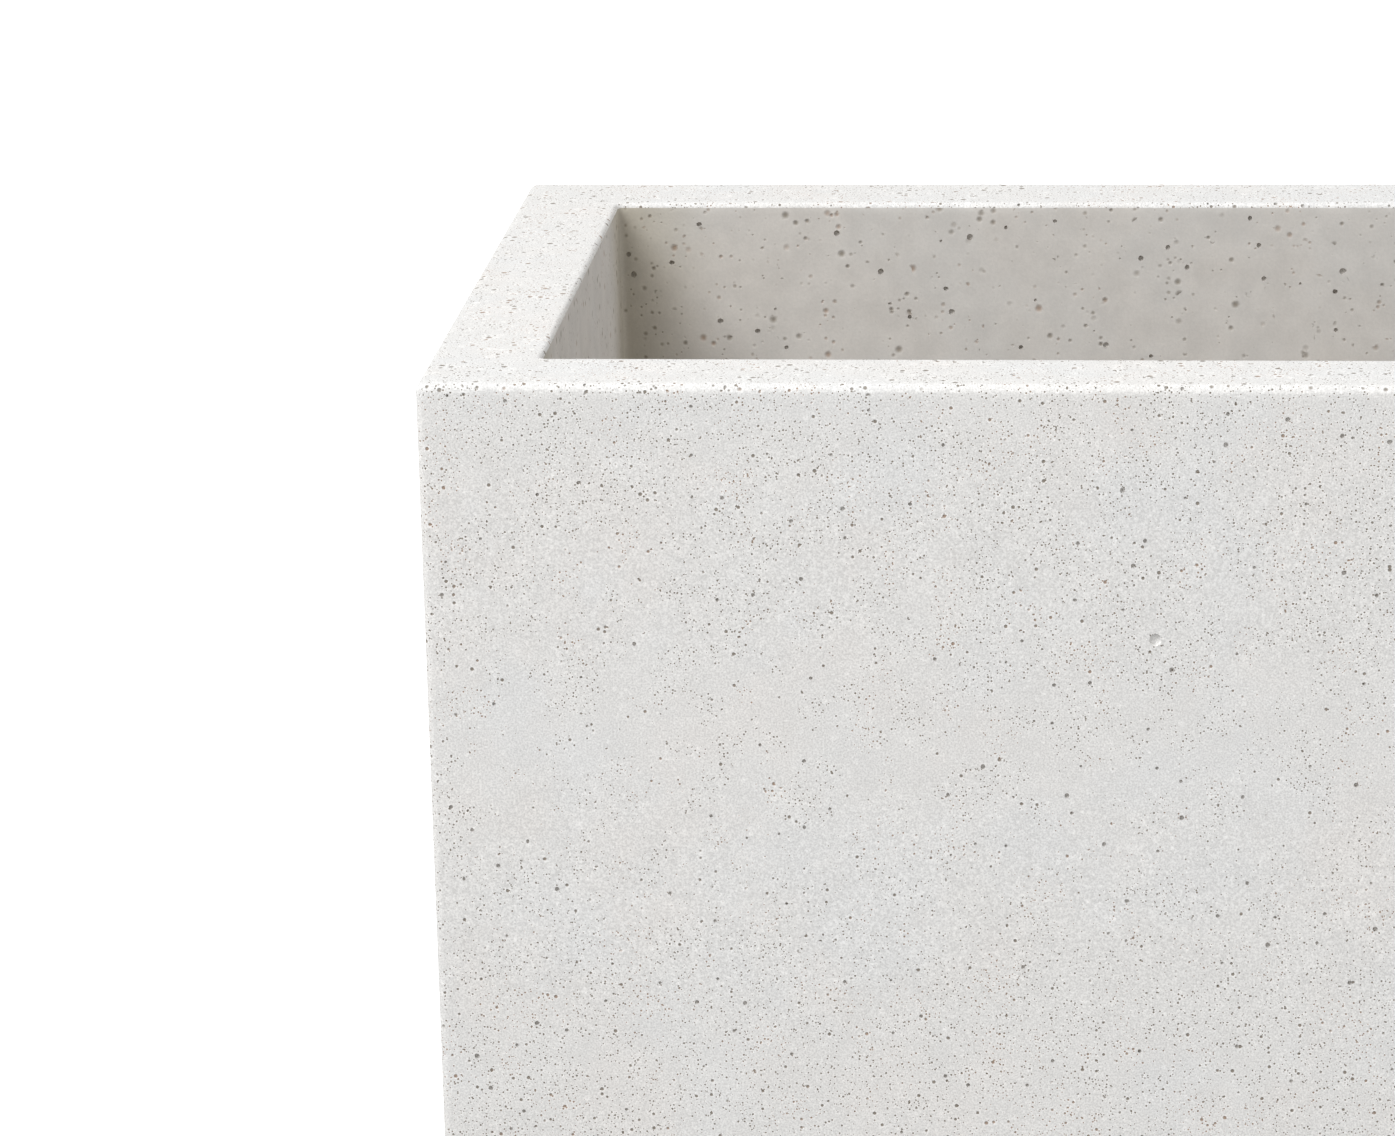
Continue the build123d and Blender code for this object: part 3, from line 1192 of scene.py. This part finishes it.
    def uneven(self, graph: Graph, bubbles: Socket) -> Socket:
        """Pushes each bubble's surface about a little, so that no two pits match.

        Args:
            graph: the geometry tree's graph.
            bubbles: the bubbles.

        Returns:
            The uneven bubbles.
        """
        spot = graph.scaled(graph.out("GeometryNodeInputPosition", 0), 1 / MM)
        feeds = {"Vector": spot, "Scale": 0.9, "Detail": 1.0}
        wander = graph.out("ShaderNodeTexNoise", "Color", feeds)
        push = graph.vector("SUBTRACT", wander, (0.5, 0.5, 0.5))
        small = graph.math("MINIMUM", graph.attribute("bubble_radius"), self.most_wandering)
        offset = graph.scaled(push, graph.math("MULTIPLY", small, self.bubble_wander))
        feeds = {"Geometry": bubbles, "Offset": offset}
        return graph.out("GeometryNodeSetPosition", 0, feeds)

    def build(self) -> bpy.types.Object:
        """Builds the pitted casting and puts it in the shell's place.

        Returns:
            The finished object.
        """
        block = self.block()
        pits = self.measured_pits()
        edges = self.edge_pits()
        seats = self.cutters()
        inputs = {
            "Measured Pits": pits,
            "Edge Pits": edges,
            "Seats": seats,
            "Spacing": self.pit_spacing * MM,
            "Density": self.pit_density,
            "Smallest Radius": self.smallest_pit * MM,
            "Largest Radius": self.largest_pit * MM,
            "Clearance": self.pit_clearance * MM,
            "Seed": self.pit_seed,
            "Face Concrete": FACE_CONCRETE.material(),
            "Core Concrete": SHADED_CORE_CONCRETE.material(),
        }
        shell = grown(block, self.pit_tree(), inputs)
        for helper in (pits, edges, seats):
            bpy.data.objects.remove(helper)
        shell.data.set_sharp_from_angle(angle=self.sharp_angle)
        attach(shell, "planter")
        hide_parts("shell")
        log.info("cast shell: %d faces", len(shell.data.polygons))
        return shell


def grown(
    piece: bpy.types.Object, tree: bpy.types.NodeTree, inputs: dict[str, object]
) -> bpy.types.Object:
    """Runs a geometry tree on an object and leaves the result as its plain mesh.

    Args:
        piece: the object that the tree starts from.
        tree: the geometry tree.
        inputs: the tree's inputs, by name.

    Returns:
        The same object with its new mesh and no modifier.
    """
    modifier = piece.modifiers.new(tree.name, "NODES")
    modifier.node_group = tree
    identifiers = {
        s.name: s.identifier
        for s in tree.interface.items_tree
        if s.item_type == "SOCKET" and s.in_out == "INPUT"
    }
    for name, value in inputs.items():
        modifier[identifiers[name]] = value
    evaluated = piece.evaluated_get(bpy.context.evaluated_depsgraph_get())
    mesh = bpy.data.meshes.new_from_object(evaluated)
    piece.modifiers.remove(modifier)
    piece.data = mesh
    mesh.name = piece.name
    return piece


# Studio


@dataclass(frozen=True)
class ProductCamera:
    """The camera, fitted to the photographed rim lines and the left outer edge."""

    place: Point = (-187.54, -1585.9, 614.11)
    yaw: float = -5.444
    pitch: float = 15.4357
    roll: float = -1.1156
    lens: float = 148.55
    sensor: float = 36.0
    farthest: float = 60.0

    def build(self) -> None:
        """Adds the camera and makes it the scene's."""
        yaw, pitch, roll = (math.radians(a) for a in (self.yaw, self.pitch, self.roll))
        forward = math.cos(pitch)
        ahead = Vector((math.sin(yaw) * forward, math.cos(yaw) * forward, -math.sin(pitch)))
        level = Vector((math.cos(yaw), -math.sin(yaw), 0))
        up = level.cross(ahead)
        right = level * math.cos(roll) + up * math.sin(roll)
        above = up * math.cos(roll) - level * math.sin(roll)
        data = bpy.data.cameras.new("product_camera")
        data.lens = self.lens
        data.sensor_width = self.sensor
        data.clip_end = self.farthest
        camera = bpy.data.objects.new("product_camera", data)
        turned = Matrix((right, above, -ahead)).transposed().to_4x4()
        camera.matrix_world = Matrix.Translation(Vector(self.place) * MM) @ turned
        bpy.context.scene.collection.objects.link(camera)
        bpy.context.scene.camera = camera


@dataclass(frozen=True)
class SoftBox:
    """A large soft lamp that points at the planter's middle.

    Args:
        name: the lamp's name.
        towards: the direction from the planter to the lamp.
        distance: how far away it is, in metres.
        size: its side, in metres.
        power: its strength, in watts.
        power: its strength, in watts.
        aim: the point that it lights, in metres.
    """

    name: str
    towards: Point
    distance: float
    size: float
    power: float
    aim: Point = (0.0, 0.0, 0.15)

    def build(self) -> None:
        """Adds the lamp."""
        data = bpy.data.lights.new(self.name, "AREA")
        data.shape = "SQUARE"
        data.size = self.size
        data.energy = self.power
        direction = Vector(self.towards).normalized()
        lamp = bpy.data.objects.new(self.name, data)
        lamp.location = Vector(self.aim) + direction * self.distance
        lamp.rotation_euler = direction.to_track_quat("Z", "Y").to_euler()
        lamp.visible_camera = False
        bpy.context.scene.collection.objects.link(lamp)


@dataclass(frozen=True)
class Studio:
    """A pale floor, an even white surround, a soft key light from upper left and two fills."""

    surround: float = 0.42
    floor_side: float = 40.0
    floor_colour: Colour = (0.42, 0.42, 0.42)
    seen_floor: float = 0.62
    seen_shadow: float = 0.90
    lamps: tuple[SoftBox, ...] = (
        SoftBox("key_light", (-0.74, -0.60, 1.0), 5.0, 2.8, 185.0),
        SoftBox("right_fill", (1.0, -0.1, 0.5), 4.0, 2.6, 34.0),
        SoftBox("front_fill", (-0.1, -1.0, 0.35), 4.0, 2.6, 17.0),
    )

    def build(self) -> None:
        """Adds the floor, the world and the lamps."""
        self.floor()
        self.world()
        for lamp in self.lamps:
            lamp.build()
        bpy.context.scene.view_settings.view_transform = "Standard"

    @staticmethod
    def background_rays(graph: Graph) -> Socket:
        """Finds the rays that see the background: direct, in a reflection or through glass.

        Args:
            graph: the material's or the world's graph.

        Returns:
            1 for such a ray and 0 for any other.
        """
        rays = graph.node("ShaderNodeLightPath").outputs
        mirrored = graph.math("MAXIMUM", rays["Is Glossy Ray"], rays["Is Transmission Ray"])
        return graph.math("MAXIMUM", rays["Is Camera Ray"], mirrored)

    def floor(self) -> None:
        """Adds a floor that looks white and keeps a faint shadow."""
        half = self.floor_side / 2 / MM
        corners = [(-half, -half, 0), (half, -half, 0), (half, half, 0), (-half, half, 0)]
        piece = mesh_object("studio_floor", corners, [(0, 1, 2, 3)])
        material = bpy.data.materials.new("studio_floor")
        material.use_nodes = True
        graph = Graph(material.node_tree)
        nodes = material.node_tree.nodes
        nodes.remove(nodes["Principled BSDF"])
        feeds = {"Color": WHITE, "Strength": self.seen_floor}
        glow = graph.out("ShaderNodeEmission", 0, feeds)
        shadow = (self.seen_shadow,) * 3 + (1,)
        shade = graph.out("ShaderNodeBsdfDiffuse", 0, {"Color": shadow})
        seen = graph.out("ShaderNodeAddShader", 0, {0: glow, 1: shade})
        lit = graph.out("ShaderNodeBsdfDiffuse", 0, {"Color": (*self.floor_colour, 1)})
        feeds = {0: self.background_rays(graph), 1: lit, 2: seen}
        surface = graph.out("ShaderNodeMixShader", 0, feeds)
        graph.feed(nodes["Material Output"].inputs["Surface"], surface)
        piece.data.materials.append(material)

    def world(self) -> None:
        """Adds a white surround, plain white where it is seen."""
        world = bpy.data.worlds.new("studio_surround")
        world.use_nodes = True
        bpy.context.scene.world = world
        graph = Graph(world.node_tree)
        nodes = world.node_tree.nodes
        nodes.remove(nodes["Background"])
        light, seen = (
            graph.out("ShaderNodeBackground", 0, {"Color": WHITE, "Strength": strength})
            for strength in (self.surround, 1.0)
        )
        feeds = {0: self.background_rays(graph), 1: light, 2: seen}
        surface = graph.out("ShaderNodeMixShader", 0, feeds)
        graph.feed(nodes["World Output"].inputs["Surface"], surface)


def main() -> None:
    """Loads the frame and builds the planter's looks, the studio and the camera."""
    logging.basicConfig(level=logging.INFO, format="%(name)s: %(message)s")
    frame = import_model()
    dress_nodes(frame)
    CastShell().build()
    Studio().build()
    ProductCamera().build()


if __name__ == "__main__":
    main()
